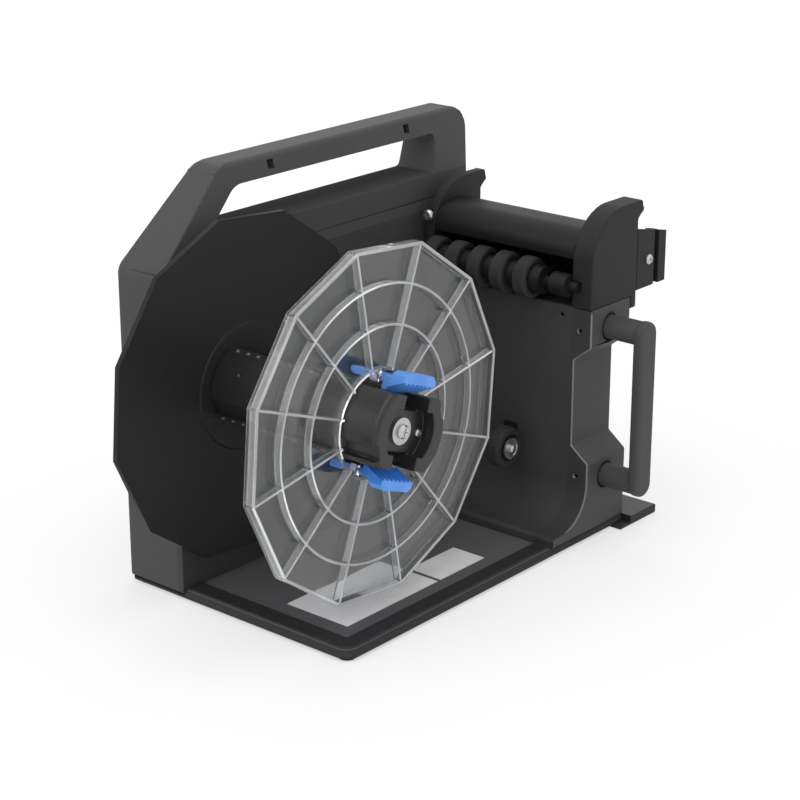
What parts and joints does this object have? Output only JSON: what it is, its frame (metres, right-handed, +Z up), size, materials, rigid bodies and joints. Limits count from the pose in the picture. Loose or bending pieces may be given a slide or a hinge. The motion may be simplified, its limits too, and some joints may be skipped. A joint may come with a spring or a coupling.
{
  "type": "label rewinder",
  "caption": "Powered label rewinder with a core mandrel between a black and a clear sliding flange, a housing with a carry handle, a tray and a roller guide wall.",
  "frame": {"origin": "middle of the bounding box's bottom, on the table the feet stand on", "axes": "+X along the spindle toward the operator's end, +Y from the spindle toward the guide wall, +Z up"},
  "size_m": [0.253, 0.44, 0.307],
  "materials": {
    "housing_grey": "fine grained moulding",
    "panel_grey": "fine grained moulding",
    "base_grey": "fine grained moulding",
    "guide_grey": "fine grained moulding",
    "flange_black": "smooth black moulding",
    "core_black": "glossy black moulding",
    "black_plastic": "smooth black moulding",
    "clear_plastic": "clear polycarbonate",
    "blue_plastic": "satin blue moulding",
    "roller_rubber": "grey rubber",
    "foot_rubber": "black rubber",
    "zinc": "zinc plated",
    "steel": "turned steel",
    "sheet_white": "bare film",
    "gear_plastic": "acetal",
    "brass": "cut brass",
    "board_green": "circuit board"
  },
  "bodies": {
    "frame": {"base_tray": "base_grey", "rubber_feet": "foot_rubber", "docking_plate": "base_grey", "floor_sheets": "sheet_white", "outer_cover": "housing_grey", "handle_cover": "housing_grey", "inner_cover": "panel_grey", "handle_screws": "zinc", "wall_shell": "panel_grey", "wall_back_cover": "panel_grey", "wall_end_cap": "housing_grey", "pull_handle": "housing_grey", "right_guide_ear": "guide_grey", "left_guide_ear": "guide_grey", "guide_plate": "flange_black", "ear_screw": "zinc", "idler_bracket": "black_plastic", "idler_axle": "zinc", "docking_bracket": "guide_grey", "bracket_screw": "zinc", "front_drive_plate": "steel", "rear_drive_plate": "steel", "plate_spacers": "steel", "drive_screws": "zinc", "front_bearing": "steel", "rear_bearing": "steel", "drive_motor": "steel", "control_board": "board_green", "power_inlet": "black_plastic", "switch_body": "black_plastic"},
    "spindle": {"spindle_shaft": "steel", "spindle_gear": "gear_plastic", "inner_flange": "flange_black", "core_mandrel": "core_black", "end_washer": "zinc", "end_screw": "zinc", "locating_screw": "zinc"},
    "sliding_flange": {"outer_flange": "clear_plastic", "lever_pins": "steel"},
    "upper_lock": {"upper_lever": "blue_plastic"},
    "lower_lock": {"lower_lever": "blue_plastic"},
    "guide_roller_set": {"roller_shaft": "black_plastic", "guide_rollers": "roller_rubber", "roller_collars": "black_plastic"},
    "idler_wheel": {"idler_hub": "black_plastic", "idler_tyre": "roller_rubber"},
    "motor_rotor": {"motor_shaft": "steel", "motor_pinion": "brass"},
    "rocker": {"switch_rocker": "black_plastic"}
  },
  "joints": [
    {"name": "spindle_turn", "type": "hinge", "parent": "frame", "child": "spindle", "pos_m": [0.0665, -0.09199, 0.152], "axis": [1, 0, 0], "continuous": true},
    {"name": "motor_spin", "type": "hinge", "parent": "frame", "child": "motor_rotor", "pos_m": [0.0665, -0.06176, 0.11598], "axis": [1, 0, 0], "continuous": true},
    {"name": "flange_slide", "type": "slide", "parent": "spindle", "child": "sliding_flange", "axis": [1, 0, 0], "range_m": [-0.07, 0.012]},
    {"name": "upper_lever_lift", "type": "hinge", "parent": "sliding_flange", "child": "upper_lock", "pos_m": [0.062, -0.0807, 0.18301], "axis": [0, -0.9397, 0.342], "range_deg": [0, 20], "stiffness_Nm_per_rad": 0.4, "springref_deg": -8.59},
    {"name": "lower_lever_lift", "type": "hinge", "parent": "sliding_flange", "child": "lower_lock", "pos_m": [0.062, -0.10327, 0.12099], "axis": [0, 0.9397, -0.342], "range_deg": [0, 20], "stiffness_Nm_per_rad": 0.4, "springref_deg": -8.59},
    {"name": "guide_roller_spin", "type": "hinge", "parent": "frame", "child": "guide_roller_set", "pos_m": [0.0665, 0.12001, 0.205], "axis": [1, 0, 0], "continuous": true},
    {"name": "idler_spin", "type": "hinge", "parent": "frame", "child": "idler_wheel", "pos_m": [0.0665, 0.09601, 0.0725], "axis": [1, 0, 0], "continuous": true},
    {"name": "rocker_tip", "type": "hinge", "parent": "frame", "child": "rocker", "pos_m": [-0.1015, 0.16951, 0.076], "axis": [1, 0, 0], "range_deg": [0, 14]}
  ],
  "couplings": [
    {"joint": "motor_spin", "follows": "spindle_turn", "ratio": -4}
  ]
}
